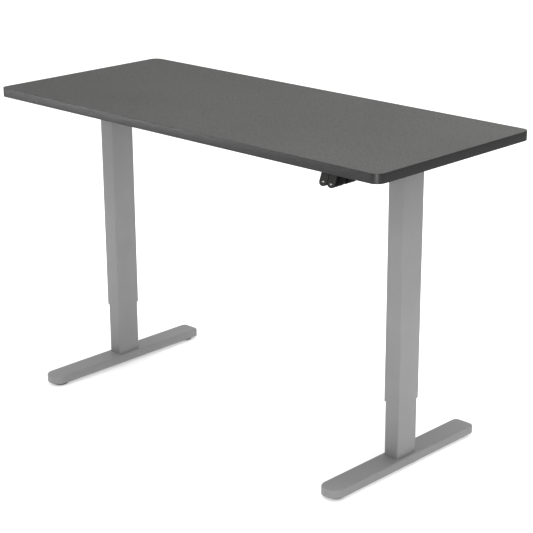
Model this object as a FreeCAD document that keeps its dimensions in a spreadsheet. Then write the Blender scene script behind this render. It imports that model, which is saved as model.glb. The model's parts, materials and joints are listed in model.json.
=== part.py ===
import FreeCAD, Part
import math
import os
import re

import Sketcher

# A height adjustable standing desk: a two-column electric frame under a one-piece top.
# The origin is on the floor under the middle of the desktop.  +X runs to the user's right
# along the top, -Y faces the user and +Z is up.  The two legs are the same column, used
# twice: a narrow tube stands on the foot, and a wide tube, hung from the top frame, slides
# down over it.  One gearmotor turns a hexagon shaft, and mitre gears on that shaft turn the
# lead screw in each leg.

Vector = FreeCAD.Vector
Rotation = FreeCAD.Rotation
DOC = FreeCAD.newDocument("StandingDesk")
SHEET = DOC.addObject("Spreadsheet::Sheet", "Sizes")

# Every driving dimension, in millimetres (teeth is a count; slack and lean are in degrees).
DRIVING = {
    "top_height": 873, "top_length": 1400, "top_depth": 600, "top_thick": 25,
    "top_corner": 25, "band_thick": 1,
    "leg_x": 545, "leg_y": -4,
    "outer_wide": 50, "outer_deep": 80, "outer_low": 185, "outer_high": 800,
    "inner_wide": 45, "inner_deep": 75, "inner_high": 632,
    "tube_round": 3, "tube_wall": 1.5, "slider_thick": 0.65, "slider_long": 48,
    "foot_gap": 9, "foot_height": 23, "foot_width": 65, "foot_front": 295, "foot_rear": 278,
    "foot_front_round": 29, "foot_rear_round": 14, "foot_wall": 2, "foot_edge": 4,
    "sole_low": 16, "sole_thick": 3, "web_thick": 3, "web_apart": 40, "web_long": 120,
    "boss_wall": 3.5, "boss_high": 8, "end_plate": 8, "foot_bolt": 4,
    "glide_front": 258, "glide_rear": 246, "glide_radius": 22, "glide_thick": 7.9,
    "glide_rim": 4.5, "glide_crown": 5, "stud_radius": 4, "stud_foot": 5.3, "stud_low": 2.7,
    "stud_high": 28,
    "pad_thick": 4, "pad_radius": 11, "plate_thick": 3,
    "bracket_half": 200, "bracket_wide": 64, "bracket_lip": 10, "bracket_round": 12,
    "lip_thick": 2, "lip_start": 62, "lip_margin": 16,
    "head_wide": 60, "head_drop": 44, "ear_reach": 85,
    "beam_deep": 80, "beam_high": 36, "beam_wall": 2, "beam_start": 26, "beam_end": 150,
    "sleeve_half": 380, "sleeve_gap": 0.4,
    "shaft_high": 819, "shaft_radius": 4.6, "screw_radius": 7, "journal_radius": 6,
    "screw_low": 255, "bearing_radius": 16, "bearing_high": 10, "bearing_low": 789,
    "gear_teeth": 16, "gear_radius": 12, "gear_face": 5.5, "gear_slack": 0.7,
    "nut_high": 36, "nut_gap": 0.08,
    "motor_x": -425, "motor_radius": 26, "motor_long": 96,
    "box_x": 60, "box_y": 84, "box_long": 190, "box_deep": 96, "box_high": 38, "box_wall": 2.5,
    "box_flange": 12, "inlet_wide": 28, "inlet_high": 20, "inlet_long": 21.5, "inlet_lift": 7,
    "mouth_wide": 24, "mouth_high": 16, "pin_long": 13, "lead_lift": 18,
    "hand_left": 515.5, "lobe_wide": 26, "lobe_drop": 33.7, "lobe_round": 11.5,
    "hand_long": 82, "hand_face": 0.5, "hand_step": 37, "hand_neck": 12, "neck_inset": 2.6,
    "hand_inset": 0.2, "hand_wall": 1.4,
    "hand_brow": 3.2, "hand_board": 46, "hand_ear": 48,
    "hand_lean": 22, "middle_wall": 0.5, "key_gap": 0.4, "key_deep": 18, "key_wall": 1.3,
    "key_proud": 0.5, "key_press": 1.2, "switch_gap": 1.8,
    "bolt_radius": 3, "wood_screw": 2, "lead_radius": 2.5,
}
for row, (alias, number) in enumerate(DRIVING.items(), start=1):
    SHEET.set("A%d" % row, alias.replace("_", " "))
    SHEET.set("B%d" % row, str(number))
    SHEET.setAlias("B%d" % row, alias)
DOC.recompute()

# Levels that several pieces share, written as sheet expressions.
UNDERSIDE = "(top_height - top_thick)"
BRACKET_TOP = "(top_height - top_thick - pad_thick)"
HEAD_TOP = "(top_height - top_thick - pad_thick - plate_thick)"
BEAM_TOP = "(top_height - top_thick - pad_thick - plate_thick * 2)"
FOOT_TOP = "(foot_gap + foot_height)"
SOLE_TOP = "(sole_low + sole_thick)"
SLEEVE_TOP = "(top_height - top_thick - pad_thick - plate_thick * 2 - beam_wall - sleeve_gap / 2)"
FRONT = "-top_depth / 2"
SIDES = ("left", "right")


# ---------------------------------------------------------------- document helpers
def size(alias):
    """The number that a driving dimension holds in the sheet."""
    return float(SHEET.get(alias))


def with_sheet(text):
    """An expression with each driving dimension written as a reference to the sheet."""
    return re.sub(r"[a-z][a-z_]*[a-z]", lambda word: "Sizes." + word.group(0), text)


def bind(thing, prop, text):
    """Drive one property of an object from the sheet."""
    thing.setExpression(prop, with_sheet(str(text)))


def move(thing, x="0", y="0", z="0"):
    """Drive an object's position from the sheet and return the object."""
    for letter, text in (("x", x), ("y", y), ("z", z)):
        bind(thing, "Placement.Base." + letter, text)
    return thing


def block(low, dims, name="Block"):
    """A plain box from its lowest corner and its three sides."""
    box = DOC.addObject("Part::Box", name)
    for prop, text in zip(("Length", "Width", "Height"), dims):
        bind(box, prop, text)
    return move(box, *low)


def middle_block(x_side, y_side, z_low, z_side, x_mid="0", y_mid="0"):
    """A box centred in X and Y on a point and standing on a level."""
    low = ("%s - (%s) / 2" % (x_mid, x_side), "%s - (%s) / 2" % (y_mid, y_side), z_low)
    return block(low, (x_side, y_side, z_side))


TURNS = {
    "+Z": Rotation(),
    "-Z": Rotation(Vector(1, 0, 0), 180),
    "+X": Rotation(Vector(0, 1, 0), 90),
    "-X": Rotation(Vector(0, 1, 0), -90),
    "+Y": Rotation(Vector(1, 0, 0), -90),
    "-Y": Rotation(Vector(1, 0, 0), 90),
}


def rod(base, radius, length, way="+Z"):
    """A cylinder that starts at a point and runs one way along an axis."""
    cylinder = DOC.addObject("Part::Cylinder", "Rod")
    cylinder.Placement.Rotation = TURNS[way]
    bind(cylinder, "Radius", radius)
    bind(cylinder, "Height", length)
    return move(cylinder, *base)


def cone(base, low_radius, high_radius, length):
    """An upright cone frustum."""
    frustum = DOC.addObject("Part::Cone", "Cone")
    bind(frustum, "Radius1", low_radius)
    bind(frustum, "Radius2", high_radius)
    bind(frustum, "Height", length)
    return move(frustum, *base)


def hexagon(base, radius, length, way="+Z"):
    """A hexagonal prism given by its corner radius."""
    prism = DOC.addObject("Part::Prism", "Hexagon")
    prism.Placement.Rotation = TURNS[way]
    bind(prism, "Circumradius", radius)
    bind(prism, "Height", length)
    return move(prism, *base)


def join(*pieces):
    """One solid out of pieces that touch or overlap."""
    fused = DOC.addObject("Part::MultiFuse", "Join")
    fused.Shapes = list(pieces)
    fused.Refine = True
    return fused


def cut(base, *tools):
    """A piece with other shapes taken out of it."""
    taken = DOC.addObject("Part::Cut", "Cut")
    taken.Base = base
    taken.Tool = tools[0] if len(tools) == 1 else join(*tools)
    return taken


def together(pieces):
    """A set of separate solids, such as all the bolts of one size."""
    compound = DOC.addObject("Part::Compound", "Set")
    compound.Links = list(pieces)
    return compound


NODES = []


def node(name, thing):
    """Name a finished sub-part and put it on the list of files to write."""
    thing.Label = name
    NODES.append(thing)
    return thing


def at_leg(thing, side, turned=True):
    """Move a piece drawn about a leg's axis to its leg; the right one faces the other way."""
    angle = 180 if side == "right" and turned else 0
    thing.Placement.Rotation = Rotation(Vector(0, 0, 1), angle)
    return move(thing, "leg_x" if side == "right" else "-leg_x", "leg_y")


# ---------------------------------------------------------------- sketch helpers
def origin_plane(body, role):
    """One of a body's own origin planes."""
    return [feature for feature in body.Origin.OriginFeatures if feature.Role == role][0]


def new_sketch(body, name="Outline", level="0"):
    """A sketch on the body's XY plane, lifted to a level."""
    sketch = body.newObject("Sketcher::SketchObject", name)
    sketch.AttachmentSupport = [(origin_plane(body, "XY_Plane"), "")]
    sketch.MapMode = "FlatFace"
    bind(sketch, "AttachmentOffset.Base.z", level)
    return sketch


def corner_arc(x, y, radius, start):
    """A quarter circle about a point, from a start angle in degrees."""
    circle = Part.Circle(Vector(x, y, 0), Vector(0, 0, 1), radius)
    return Part.ArcOfCircle(circle, math.radians(start), math.radians(start + 90))


def straight(x0, y0, x1, y1):
    """A straight line in a sketch."""
    return Part.LineSegment(Vector(x0, y0, 0), Vector(x1, y1, 0))


def rounded_rectangle(sketch, wide, deep, low_radius, high_radius=None, y_low=None):
    """A centred rectangle with rounded corners.

    The corners at the low-Y and high-Y ends can have different radii, and y_low sets
    where the low-Y side lies when the rectangle isn't centred in Y.
    """
    half_w, half_d, guess = 30.0, 60.0, 5.0
    first = sketch.GeometryCount
    sketch.addGeometry([
        straight(guess - half_w, -half_d, half_w - guess, -half_d),
        corner_arc(half_w - guess, guess - half_d, guess, 270),
        straight(half_w, guess - half_d, half_w, half_d - guess),
        corner_arc(half_w - guess, half_d - guess, guess, 0),
        straight(half_w - guess, half_d, guess - half_w, half_d),
        corner_arc(guess - half_w, half_d - guess, guess, 90),
        straight(-half_w, half_d - guess, -half_w, guess - half_d),
        corner_arc(guess - half_w, guess - half_d, guess, 180)], False)
    rule = Sketcher.Constraint
    low_side, low_arc, right, high_arc, high_side, last_arc, left, start_arc = range(first, first + 8)
    ring = list(range(first, first + 8)) + [first]
    rules = [rule("Tangent", one, 2, two, 1) for one, two in zip(ring, ring[1:])]
    rules += [rule("Horizontal", low_side), rule("Horizontal", high_side)]
    rules += [rule("Vertical", right), rule("Vertical", left)]
    rules += [rule("Equal", low_arc, start_arc), rule("Equal", high_arc, last_arc)]
    sketch.addConstraint(rules)
    named = [("low_radius", rule("Radius", low_arc, guess), low_radius),
             ("high_radius", rule("Radius", high_arc, guess), high_radius or low_radius),
             ("wide", rule("DistanceX", left, 1, right, 1, 2 * half_w), wide),
             ("deep", rule("DistanceY", low_side, 1, high_side, 1, 2 * half_d), deep),
             ("reach", rule("DistanceX", -1, 1, right, 1, half_w), "(%s) / 2" % wide),
             ("start", rule("DistanceY", low_side, 1, -1, 1, half_d),
              y_low or "(%s) / 2" % deep)]
    for name, constraint, text in named:
        index = sketch.addConstraint(constraint)
        sketch.renameConstraint(index, name + str(first))
        bind(sketch, "Constraints." + name + str(first), text)
    return sketch


def circles(sketch, centres, radius):
    """Equal circles at a list of (x, y) centres, each text worked out from the sheet."""
    for x, y in centres:
        index = sketch.GeometryCount
        sketch.addGeometry(Part.Circle(Vector(index + 1, index + 1, 0), Vector(0, 0, 1), 1), False)
        rules = (("across", Sketcher.Constraint("DistanceX", -1, 1, index, 3, 1), x),
                 ("along", Sketcher.Constraint("DistanceY", -1, 1, index, 3, 1), y),
                 ("radius", Sketcher.Constraint("Radius", index, 1), radius))
        for name, constraint, text in rules:
            number = sketch.addConstraint(constraint)
            sketch.renameConstraint(number, name + str(index))
            bind(sketch, "Constraints." + name + str(index), text)


def new_body(name="Body"):
    return DOC.addObject("PartDesign::Body", name)


def pad(body, sketch, length):
    """Raise a sketch by a length."""
    feature = body.newObject("PartDesign::Pad", "Pad")
    feature.Profile = sketch
    bind(feature, "Length", length)
    DOC.recompute()


def pocket(body, sketch, length):
    """Sink a sketch upward into the body, and make sure that it took something away."""
    before = body.Shape.Volume
    feature = body.newObject("PartDesign::Pocket", "Pocket")
    feature.Profile = sketch
    feature.Reversed = True
    bind(feature, "Length", length)
    DOC.recompute()
    if body.Shape.Volume >= before:
        raise RuntimeError("a pocket cut nothing in " + body.Label)


def round_edges(body, radius, wanted):
    """Round the edges of the body's last feature that a test picks out."""
    base = body.Tip
    numbered = enumerate(base.Shape.Edges, start=1)
    edges = ["Edge%d" % number for number, edge in numbered if wanted(edge)]
    feature = body.newObject("PartDesign::Fillet", "Round")
    feature.Base = (base, edges)
    bind(feature, "Radius", radius)
    DOC.recompute()


def rounded_tube(wide, deep, radius, wall, low, length):
    """A rectangular tube with rounded corners, standing on a level."""
    body = new_body("Tube")
    outline = new_sketch(body, level=low)
    rounded_rectangle(outline, wide, deep, radius)
    hollow = "(%s) * 2" % wall
    inner_radius = "(%s) - (%s) * 0.8" % (radius, wall)
    rounded_rectangle(outline, "%s - %s" % (wide, hollow), "%s - %s" % (deep, hollow), inner_radius)
    pad(body, outline, length)
    return body


def rounded_plate(wide, deep, radius, low, length):
    """A plate with rounded corners, lying on a level."""
    body = new_body("Plate")
    outline = new_sketch(body, level=low)
    rounded_rectangle(outline, wide, deep, radius)
    pad(body, outline, length)
    return body


# ---------------------------------------------------------------- fasteners
def machine_screw(point, way, shank_radius, shank_long, head_radius, head_high):
    """A round-headed socket screw whose head's seat is at the point; way is the shank's."""
    x, y, z = point
    back = {"+": "-", "-": "+"}[way[0]] + way[1]
    head = rod(point, head_radius, head_high, back)
    shank = rod(point, shank_radius, shank_long, way)
    sign = 1 if back[0] == "+" else -1
    lift = "%d * (%s) * 0.5" % (sign, head_high)
    start = {"X": ("%s + %s" % (x, lift), y, z), "Y": (x, "%s + %s" % (y, lift), z),
             "Z": (x, y, "%s + %s" % (z, lift))}[way[1]]
    socket = hexagon(start, "(%s) * 0.5" % head_radius, head_high, back)
    return cut(join(head, shank), socket)


# ---------------------------------------------------------------- desktop
SCREW_PLACES = [("%d * leg_x + %d" % (side, across), "leg_y + %d" % along)
                for side in (-1, 1) for across in (-20, 20) for along in (-180, 180)]
BOX_SCREWS = [("box_x + %s" % across, "box_y + %s" % along)
              for across in ("-6", "box_long + 6") for along in ("20", "box_deep - 20")]
HAND_SCREWS = [("hand_left + lobe_wide + %d" % across, "hand_long - top_depth / 2 + 5")
               for across in (-20, 20)]
WOOD_SCREW_LONG = 15


def desktop():
    """The board, with a pilot hole for each wood screw, and the band glued round it."""
    body = new_body("Board")
    outline = new_sketch(body, level=UNDERSIDE)
    rounded_rectangle(outline, "top_length - band_thick * 2", "top_depth - band_thick * 2",
                      "top_corner - band_thick")
    pad(body, outline, "top_thick")
    holes = new_sketch(body, "Pilots", UNDERSIDE)
    circles(holes, SCREW_PLACES + BOX_SCREWS + HAND_SCREWS, "wood_screw + 0.1")
    pocket(body, holes, WOOD_SCREW_LONG)
    node("desktop_board", body)
    band = new_body("Band")
    ring = new_sketch(band, level=UNDERSIDE)
    rounded_rectangle(ring, "top_length", "top_depth", "top_corner")
    rounded_rectangle(ring, "top_length - band_thick * 2", "top_depth - band_thick * 2",
                      "top_corner - band_thick")
    pad(band, ring, "top_thick")
    node("desktop_edge_band", band)


# ---------------------------------------------------------------- feet
FOOT_BOLT_PLACES = [(x, y) for x in ("-12", "12") for y in ("-24", "24")]


def foot_outline(body, name, level, inset):
    """The foot's plan: nearly a half circle in front and square at the rear."""
    sketch = new_sketch(body, name, level)
    rounded_rectangle(sketch, "foot_width - %s * 2" % inset, "foot_front + foot_rear - %s * 2" % inset,
                      "foot_front_round - %s" % inset, "foot_rear_round - %s" % inset,
                      "foot_front + leg_y - %s" % inset)
    return sketch


def foot_shell(side):
    """A pressed steel foot, open below, with bolt holes in its roof under the column."""
    body = new_body("Foot")
    pad(body, foot_outline(body, "Outline", "foot_gap", "0"), "foot_height")
    top = size("foot_gap") + size("foot_height")
    round_edges(body, "foot_edge", lambda edge: edge.BoundBox.ZMin > top - 0.01)
    pocket(body, foot_outline(body, "Hollow", "foot_gap", "foot_wall"), "foot_height - foot_wall")
    holes = new_sketch(body, "Holes", "foot_gap")
    circles(holes, FOOT_BOLT_PLACES, "foot_bolt + 0.5")
    pocket(body, holes, "foot_height")
    node(side + "_foot_shell", at_leg(body, side, turned=False))


def foot_sole(side):
    """The plate inside the foot: webs under the column and a threaded boss at each end."""
    plate = new_body("Sole")
    pad(plate, foot_outline(plate, "Outline", "sole_low", "(foot_wall + 0.3)"), "sole_thick")
    solids = [plate]
    for x in ("-web_apart / 2 - web_thick", "web_apart / 2"):
        web = ("web_thick", "web_long", "foot_gap + foot_height - foot_wall - " + SOLE_TOP)
        solids.append(block((x, "-web_long / 2", SOLE_TOP), web))
    bosses = [("0", "-glide_front - leg_y"), ("0", "glide_rear - leg_y")]
    solids += [rod((x, y, SOLE_TOP), "stud_radius + boss_wall", "boss_high") for x, y in bosses]
    tools = [rod((x, y, "sole_low - 1"), "foot_bolt + 0.5", "10") for x, y in FOOT_BOLT_PLACES]
    tools += [rod((x, y, "sole_low - 1"), "stud_radius + 0.06", "20") for x, y in bosses]
    node(side + "_foot_sole", at_leg(cut(join(*solids), *tools), side, turned=False))


def glides():
    """A levelling glide under each end of each foot: a pad that swivels on a screwed stud."""
    places = (("front_left", "-leg_x", "-glide_front"), ("rear_left", "-leg_x", "glide_rear"),
              ("front_right", "leg_x", "-glide_front"), ("rear_right", "leg_x", "glide_rear"))
    for name, x, y in places:
        disc = rod(("0", "0", "0"), "glide_radius", "glide_rim")
        crown = cone(("0", "0", "glide_rim"), "glide_radius", "glide_radius - glide_crown",
                     "glide_thick - glide_rim")
        well = rod(("0", "0", "stud_low - 0.1"), "stud_foot + 0.1", "glide_thick")
        node(name + "_glide_pad", move(cut(join(disc, crown), well), x, y))
        foot = rod(("0", "0", "stud_low"), "stud_foot", "2")
        stud = join(foot, rod(("0", "0", "stud_low + 1"), "stud_radius", "stud_high - stud_low - 1"))
        slot = block(("-stud_foot", "-0.6", "stud_high - 1.5"), ("stud_foot * 2", "1.2", "3"))
        node(name + "_glide_stud", move(cut(stud, slot), x, y))


# ---------------------------------------------------------------- columns
def column(side):
    """The tubes of one leg, the plate in its lower end, its sliders and its drive nut."""
    inner = rounded_tube("inner_wide", "inner_deep", "tube_round", "tube_wall", FOOT_TOP,
                         "inner_high - foot_gap - foot_height")
    node(side + "_inner_tube", at_leg(inner, side))
    outer = rounded_tube("outer_wide", "outer_deep", "tube_round", "tube_wall", "outer_low",
                         "outer_high - outer_low")
    node(side + "_outer_tube", at_leg(outer, side))

    inside = ("inner_wide - tube_wall * 2 - 0.4", "inner_deep - tube_wall * 2 - 0.4")
    plate = rounded_plate(inside[0], inside[1], "2", FOOT_TOP, "end_plate")
    holes = new_sketch(plate, "Holes", FOOT_TOP)
    circles(holes, FOOT_BOLT_PLACES, "foot_bolt + 0.05")
    pocket(plate, holes, "end_plate")
    node(side + "_leg_end_plate", at_leg(plate, side))

    # The upper slider is a cap on the inner tube's end, so it fills the gap to the outer tube.
    thick = "slider_thick"
    skirt = rounded_tube("inner_wide + %s * 2 + 0.1" % thick, "inner_deep + %s * 2 + 0.1" % thick,
                         "tube_round + " + thick, thick, "inner_high - slider_long", "slider_long")
    rim = rounded_tube("inner_wide + %s * 2 + 0.1" % thick, "inner_deep + %s * 2 + 0.1" % thick,
                       "tube_round + " + thick, "4", "inner_high", "3")
    node(side + "_upper_slider", at_leg(join(skirt, rim), side))

    # The lower slider lines the mouth of the outer tube.
    bore = "(tube_wall * 2 + 0.1)"
    liner = rounded_tube("outer_wide - %s" % bore, "outer_deep - %s" % bore, "1.8", thick,
                         "outer_low", "slider_long")
    node(side + "_lower_slider", at_leg(liner, side))

    nut = rounded_plate(inside[0], inside[1], "2", "inner_high - nut_high", "nut_high")
    thread = new_sketch(nut, "Thread", "inner_high - nut_high")
    circles(thread, [("0", "0")], "screw_radius + nut_gap")
    pocket(nut, thread, "nut_high")
    node(side + "_drive_nut", at_leg(nut, side))


def foot_bolts():
    """Four bolts up through each foot into the plate in the column's end."""
    long = "foot_gap + foot_height + end_plate - sole_low - 1"
    bolts = []
    for sign in (-1, 1):
        for x, y in FOOT_BOLT_PLACES:
            point = ("%d * leg_x + %s" % (sign, x), "leg_y + %s" % y, "sole_low")
            bolts.append(machine_screw(point, "+Z", "foot_bolt", long, "foot_bolt + 2.5", "5"))
    node("foot_bolts", together(bolts))


# ---------------------------------------------------------------- top frame
HEAD_BOLT_PLACES = [(x, y) for x in ("-18", "18") for y in ("-29", "29")]
EAR_BOLTS = ("43", "62")
BEAM_SCREWS = ("180", "340")


def head_bracket(side):
    """A folded plate over the column's head, with ears that hold the crossbeam's end."""
    wide, deep = "head_wide", "outer_deep + plate_thick * 2"
    roof = middle_block(wide, deep, BEAM_TOP, "plate_thick")
    cheeks = []
    for y in ("-outer_deep / 2 - plate_thick", "outer_deep / 2"):
        cheek = block(("-outer_wide / 2", y, BEAM_TOP + " - head_drop"),
                      ("(outer_wide + head_wide) / 2", "plate_thick", "head_drop"))
        ear = block(("-head_wide / 2", y, BEAM_TOP + " - beam_high + 2"),
                    ("ear_reach + head_wide / 2", "plate_thick", "beam_high - 12"))
        cheeks += [cheek, ear]
    holes = [rod((x, y, BEAM_TOP + " - 1"), "bolt_radius + 0.05", "10") for x, y in HEAD_BOLT_PLACES]
    holes += [rod((x, "-60", "shaft_high"), "bolt_radius + 0.3", "120", "+Y") for x in EAR_BOLTS]
    node(side + "_head_bracket", at_leg(cut(join(roof, *cheeks), *holes), side))


def side_bracket(side):
    """The flat bar that carries the top from front to back, lipped on both edges."""
    bar = rounded_plate("bracket_wide", "bracket_half * 2", "bracket_round", HEAD_TOP, "plate_thick")
    lip = ("lip_thick", "bracket_half - lip_start - lip_margin", "bracket_lip + 1")
    lips = []
    for x in ("-bracket_wide / 2", "bracket_wide / 2 - lip_thick"):
        for y in ("-bracket_half + lip_margin", "lip_start"):
            lips.append(block((x, y, HEAD_TOP + " - bracket_lip"), lip))
    holes = [rod((x, y, HEAD_TOP + " - 1"), "bolt_radius + 0.3", "10") for x, y in HEAD_BOLT_PLACES]
    holes += [rod((x, y, HEAD_TOP + " - 1"), "wood_screw + 0.6", "10")
              for x in ("-20", "20") for y in ("-180", "180")]
    node(side + "_side_bracket", at_leg(cut(join(bar, *lips), *holes), side))


def bracket_pads():
    """Rubber washers that keep the side brackets off the board."""
    pads = []
    for x, y in SCREW_PLACES:
        disc = rod((x, y, BRACKET_TOP), "pad_radius", "pad_thick")
        pads.append(cut(disc, rod((x, y, BRACKET_TOP + " - 1"), "wood_screw + 0.6", "pad_thick + 2")))
    node("bracket_pads", together(pads))


def channel(low_x, long, wide, high, top):
    """A steel channel that runs along X and opens downward."""
    whole = block((low_x, "leg_y - (%s) / 2" % wide, "%s - (%s)" % (top, high)), (long, wide, high))
    inside = block(("%s - 1" % low_x, "leg_y - (%s) / 2 + beam_wall" % wide,
                    "%s - (%s) - 1" % (top, high)),
                   ("%s + 2" % long, "%s - beam_wall * 2" % wide, "%s - beam_wall + 1" % high))
    return cut(whole, inside)


def crossbeams():
    """Two outer channels and the sleeve that telescopes inside both to set the width."""
    long = "leg_x - beam_start - beam_end"
    for side, low_x, sign in (("left", "beam_start - leg_x", -1), ("right", "beam_end", 1)):
        places = ["%d * (leg_x - %s)" % (sign, x) for x in EAR_BOLTS]
        holes = [rod((x, "-60", "shaft_high"), "bolt_radius + 0.1", "120", "+Y") for x in places]
        holes += [rod(("%d * %s" % (sign, x), "-60", "shaft_high"), "bolt_radius + 0.1", "120", "+Y")
                  for x in BEAM_SCREWS]
        if side == "left":
            holes.append(rod(("motor_x", "20", "shaft_high"), "motor_radius * 0.3", "30", "+Y"))
        beam = channel(low_x, long, "beam_deep", "beam_high", BEAM_TOP)
        node(side + "_crossbeam", cut(beam, *holes))
    sleeve = channel("-sleeve_half", "sleeve_half * 2", "beam_deep - beam_wall * 2 - sleeve_gap",
                     "(beam_high - beam_wall - sleeve_gap / 2)", SLEEVE_TOP)
    holes = [rod(("%d * %s" % (sign, x), "-60", "shaft_high"), "bolt_radius + 0.1", "120", "+Y")
             for sign in (-1, 1) for x in BEAM_SCREWS]
    node("centre_crossbeam", cut(sleeve, *holes))


def frame_bolts():
    """Every M6 button-head screw of the top frame."""
    head, high = "bolt_radius * 1.75", "bolt_radius * 1.05"
    bolts = []
    for sign in (-1, 1):
        for x, y in HEAD_BOLT_PLACES:
            point = ("%d * leg_x + %s" % (sign, x), "leg_y + %s" % y, BRACKET_TOP)
            bolts.append(machine_screw(point, "-Z", "bolt_radius", "7", head, high))
        for face, way in ((-1, "+Y"), (1, "-Y")):
            ear_y = "leg_y + %d * (outer_deep / 2 + plate_thick)" % face
            beam_y = "leg_y + %d * beam_deep / 2" % face
            for x in EAR_BOLTS:
                point = ("%d * (leg_x - %s)" % (sign, x), ear_y, "shaft_high")
                bolts.append(machine_screw(point, way, "bolt_radius", "9", head, high))
            for x in BEAM_SCREWS:
                point = ("%d * %s" % (sign, x), beam_y, "shaft_high")
                bolts.append(machine_screw(point, way, "bolt_radius", "8", head, high))
    node("frame_bolts", together(bolts))


def desktop_screws():
    """The wood screws that hold the brackets, the control box and the handset to the board."""
    screws = []
    for x, y in SCREW_PLACES:
        screws.append(machine_screw((x, y, HEAD_TOP), "+Z", "wood_screw",
                                    "pad_thick + plate_thick + 12", "wood_screw * 2", "2.4"))
    for x, y in BOX_SCREWS + HAND_SCREWS:
        screws.append(machine_screw((x, y, UNDERSIDE + " - 2.5"), "+Z", "wood_screw", "15",
                                    "wood_screw * 2", "2.4"))
    node("desktop_screws", together(screws))


# ---------------------------------------------------------------- drive
def gear_point(distance, lean, around):
    """A point at a distance from the cones' apex, leaning from the gear's axis, -Z."""
    across = distance * math.sin(lean)
    return Vector(across * math.cos(around), across * math.sin(around), -distance * math.cos(lean))


def gear_tooth(around, slack):
    """One straight tooth whose edges all run to the apex, so both end faces are alike."""
    radius = size("gear_radius")
    module = 2 * radius / size("gear_teeth")
    far = radius * math.sqrt(2)
    near = far - size("gear_face")
    tip = math.pi / 4 + 0.8 * module / far
    root = math.pi / 4 - 1.15 * module / far
    quarter = math.pi / (2 * size("gear_teeth")) - slack
    flank = math.tan(math.radians(22))
    half_tip = quarter - 0.8 * module * flank / radius
    half_root = quarter + 1.15 * module * flank / radius
    corners = ((root, -half_root), (tip, -half_tip), (tip, half_tip), (root, half_root))
    ends = []
    for distance in (far, near):
        ends.append([gear_point(distance, lean, around + turn) for lean, turn in corners])
    faces = [ends[0], ends[1]]
    for corner in range(4):
        after = (corner + 1) % 4
        faces.append([ends[0][corner], ends[0][after], ends[1][after], ends[1][corner]])
    shells = [Part.Face(Part.makePolygon(face + [face[0]])) for face in faces]
    return Part.Solid(Part.Shell(shells))


def gear_shape(offset, bore=None):
    """A mitre gear below its apex at the origin; offset turns its first tooth from +X."""
    radius = size("gear_radius")
    teeth = int(size("gear_teeth"))
    module = 2 * radius / teeth
    far = radius * math.sqrt(2)
    root = math.pi / 4 - 1.05 * module / far
    outer = gear_point(far, root, 0)
    inner = gear_point(far - size("gear_face"), root, 0)
    hub_low = -radius - 7
    hub_wide = outer.x - 1.5
    profile = [Vector(0, 0, inner.z), inner, outer, Vector(hub_wide, 0, outer.z - 1.5),
               Vector(hub_wide, 0, hub_low), Vector(0, 0, hub_low)]
    blank = Part.Face(Part.makePolygon(profile + [profile[0]])).revolve(Vector(), Vector(0, 0, 1), 360)
    pitch = 2 * math.pi / teeth
    slack = math.radians(size("gear_slack"))
    gear = blank.fuse([gear_tooth(number * pitch + offset, slack) for number in range(teeth)])
    gear = gear.removeSplitter()
    return gear.cut(bore) if bore else gear


def round_bore():
    """The bore for the lead screw's journal."""
    return Part.makeCylinder(size("journal_radius") + 0.02, 40, Vector(0, 0, -39))


def hexagon_bore():
    """The bore for the hexagon shaft."""
    reach = size("shaft_radius") + 0.05
    turns = [math.radians(60 * step) for step in range(7)]
    corners = [Vector(reach * math.cos(turn), reach * math.sin(turn), -39) for turn in turns]
    return Part.Face(Part.makePolygon(corners)).extrude(Vector(0, 0, 40))


def gear(offset, turn, x, y, bore=None):
    """A mitre gear as a document object with its apex on the shaft's axis."""
    piece = DOC.addObject("Part::Feature", "MitreGear")
    piece.Shape = gear_shape(offset, bore)
    piece.Placement = FreeCAD.Placement(Vector(), turn)
    return move(piece, x, y, "shaft_high")


FACING_PLUS_X = Rotation(Vector(0, 1, 0), -90)     # takes the gear's -Z side to +X
FACING_PLUS_Y = Rotation(Vector(1, 0, 0), 90)      # takes the gear's -Z side to +Y


def lead_screw(side):
    """The lead screw, journalled in its bearing, and the mitre gear on its head."""
    thread = rod(("0", "0", "screw_low"), "screw_radius", "bearing_low - screw_low")
    point = cone(("0", "0", "screw_low - 4"), "screw_radius - 3", "screw_radius", "4")
    journal = rod(("0", "0", "bearing_low"), "journal_radius", "shaft_high - bearing_low - 9")
    node(side + "_lead_screw", at_leg(join(thread, point, journal), side, turned=False))
    x = "leg_x" if side == "right" else "-leg_x"
    node(side + "_screw_gear", gear(0.0, Rotation(), x, "leg_y", round_bore()))


def drive_shaft():
    """The hexagon shaft along the beam, with one gear for each leg and one for the motor."""
    shaft = hexagon(("-leg_x - 8", "leg_y", "shaft_high"), "shaft_radius", "leg_x * 2 + 8 + 21", "+X")
    node("drive_shaft", shaft)
    half_pitch = math.pi / size("gear_teeth")
    gears = [gear(half_pitch, FACING_PLUS_X, x, "leg_y", hexagon_bore())
             for x in ("-leg_x", "leg_x", "motor_x")]
    node("shaft_gears", together(gears))


def gearbox(side):
    """The cast housing on the column's head, with the bearing's seat in its spigot."""
    wall = "3"
    roof = BEAM_TOP
    case = middle_block("outer_wide", "outer_deep - 1", "outer_high", roof + " - outer_high")
    room = middle_block("outer_wide - %s * 2" % wall, "outer_deep - 1 - %s * 2" % wall,
                        "outer_high + 4", roof + " - outer_high")
    spigot = rod(("0", "0", "bearing_low - 2"), "bearing_radius + 3", "outer_high - bearing_low + 2")
    seat = rod(("0", "0", "bearing_low"), "bearing_radius + 0.03", "20")
    throat = rod(("0", "0", "bearing_low - 3"), "screw_radius + 1", "5")
    shaft_way = rod(("-60", "0", "shaft_high"), "shaft_radius + 0.5", "120", "+X")
    housing = cut(join(case, spigot), room, seat, throat, shaft_way)
    node(side + "_gearbox_housing", at_leg(housing, side, turned=False))


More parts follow.
